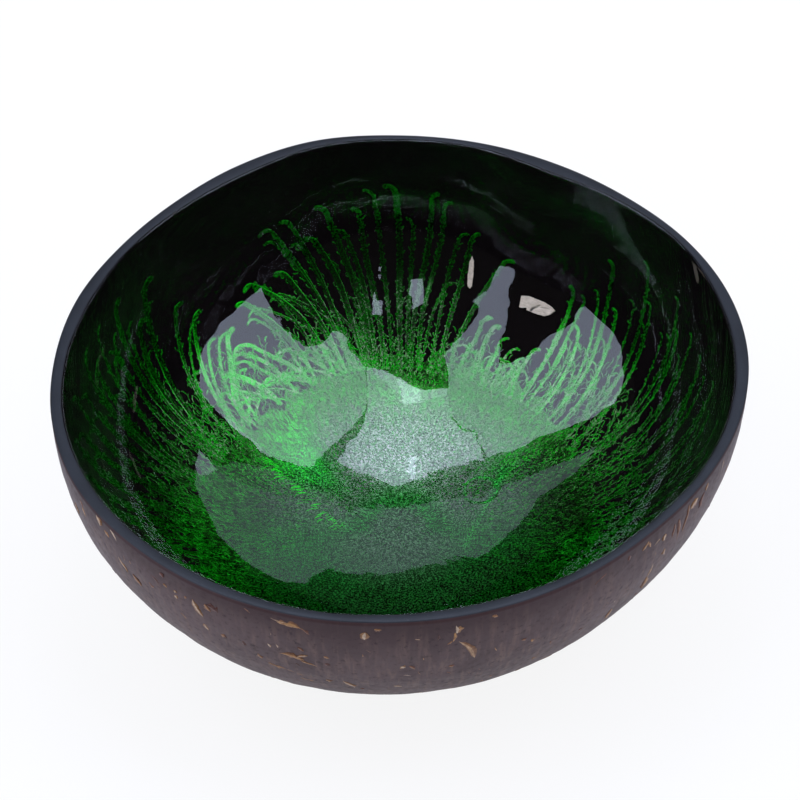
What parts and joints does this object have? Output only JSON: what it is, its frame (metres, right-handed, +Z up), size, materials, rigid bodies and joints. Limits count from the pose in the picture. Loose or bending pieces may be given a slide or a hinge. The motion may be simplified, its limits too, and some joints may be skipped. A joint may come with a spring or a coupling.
{
  "type": "coconut shell bowl",
  "caption": "Open bowl cut from half a coconut shell, with a flat ground foot, a satin rim and a glossy lacquered inside with a green metallic splash.",
  "frame": {"origin": "centre of the ground foot, in the plane that the bowl stands on", "axes": "+Z up out of the bowl's mouth, +X to the right and +Y to the far side in the picture"},
  "size_m": [0.1366, 0.1371, 0.0533],
  "materials": {
    "shell": "polished dark coconut shell with tan fibre flecks",
    "plug": "dark wood filler",
    "black_lacquer": "black gloss lacquer",
    "rim": "satin slate-grey lacquer",
    "green_metallic": "green metallic lacquer with a fine mossy figure",
    "clear_lacquer": "clear high-gloss lacquer",
    "eggshell": "cream eggshell, flush with the clear coat"
  },
  "bodies": {
    "root": {"coconut_shell": "shell", "eye_plug": "plug", "black_lacquer_lining": "black_lacquer", "rim_coat": "rim", "green_splash": "green_metallic", "clear_coat": "clear_lacquer", "eggshell_chip_large": "eggshell", "eggshell_chip_small": "eggshell"}
  },
  "joints": []
}
